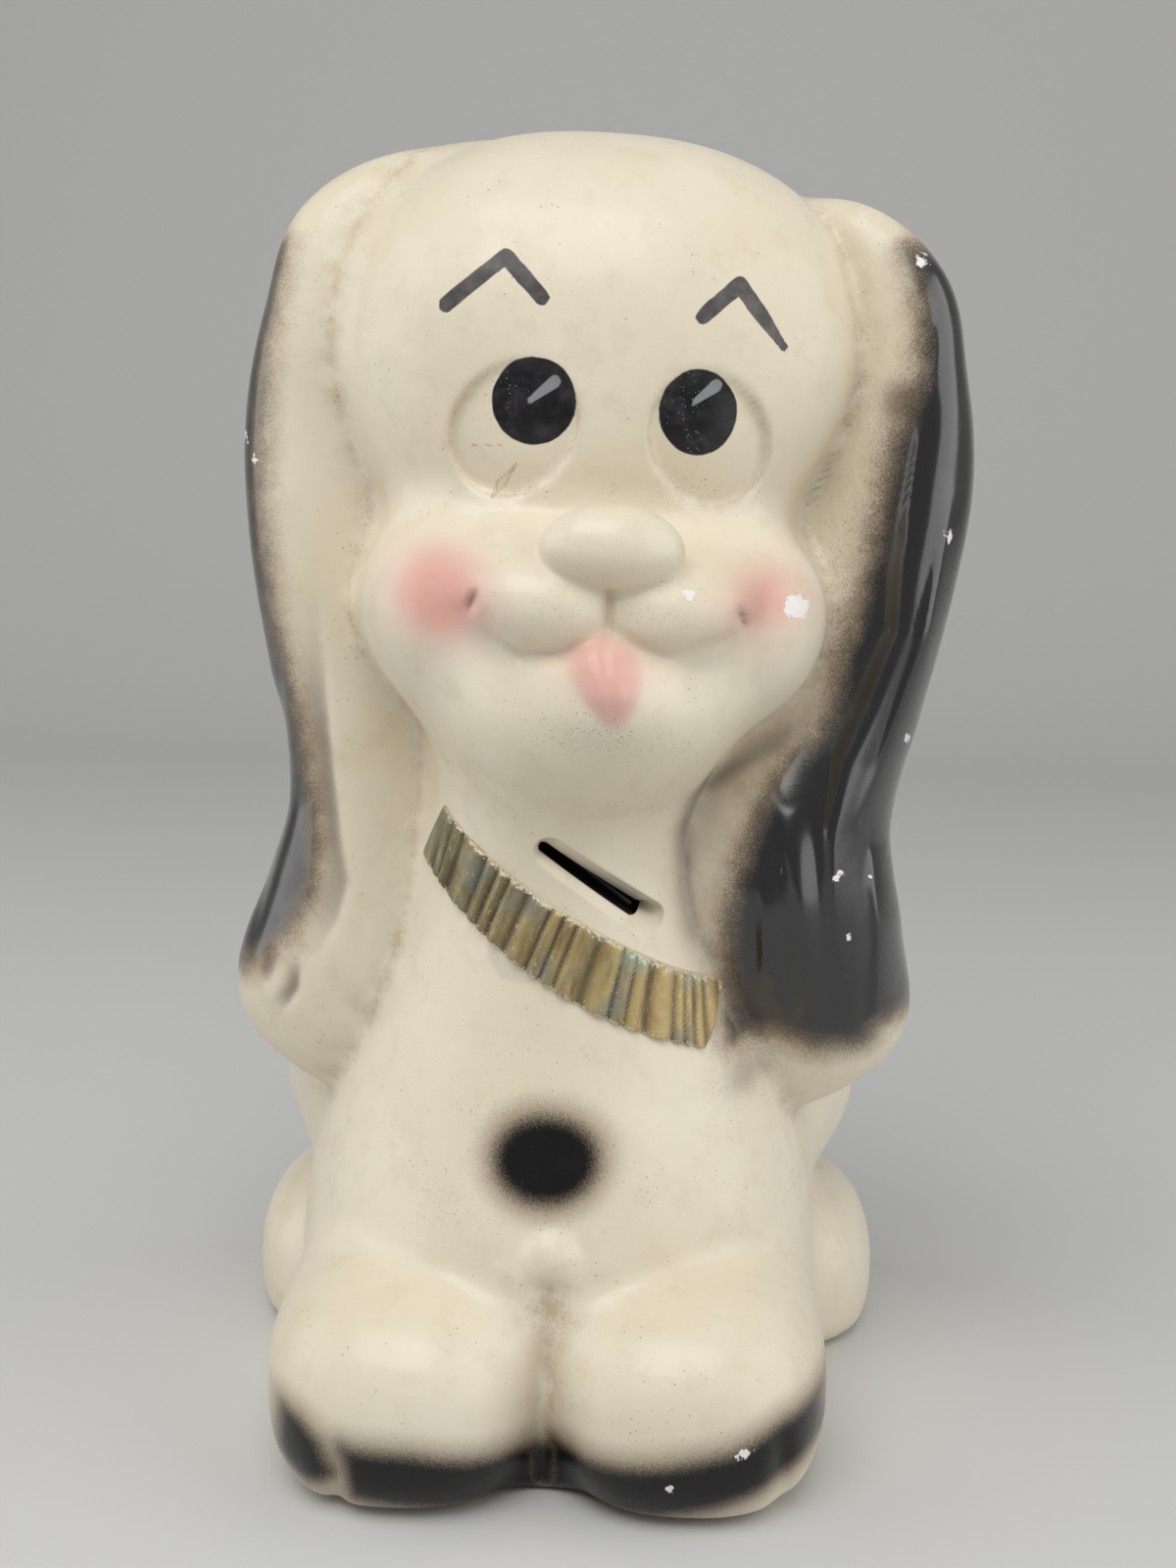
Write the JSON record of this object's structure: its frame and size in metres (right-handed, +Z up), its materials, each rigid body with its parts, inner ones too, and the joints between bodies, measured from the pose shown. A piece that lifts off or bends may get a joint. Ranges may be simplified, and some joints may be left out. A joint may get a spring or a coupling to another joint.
{
  "type": "dog coin bank",
  "caption": "Hollow cast-plaster figure of a sitting long-eared dog, with a slanted coin slot at the neck, a reeded collar and a pull-out stopper in the base.",
  "frame": {"origin": "on the ground under the middle of the figure's outline", "axes": "+Z up, the dog faces -Y, +X is on the right in the picture"},
  "size_m": [0.2056, 0.2, 0.3546],
  "materials": {
    "painted_plaster": "satin varnished paint",
    "bare_plaster": "matt",
    "rubber": "matt"
  },
  "bodies": {
    "figure": {"front_shell": "painted_plaster", "back_shell": "painted_plaster", "base_plate": "bare_plaster"},
    "stopper": {"coin_stopper": "rubber"}
  },
  "joints": [
    {"name": "stopper_pull", "type": "slide", "parent": "figure", "child": "stopper", "axis": [0, 0, -1], "range_m": [0, 0.03]}
  ]
}
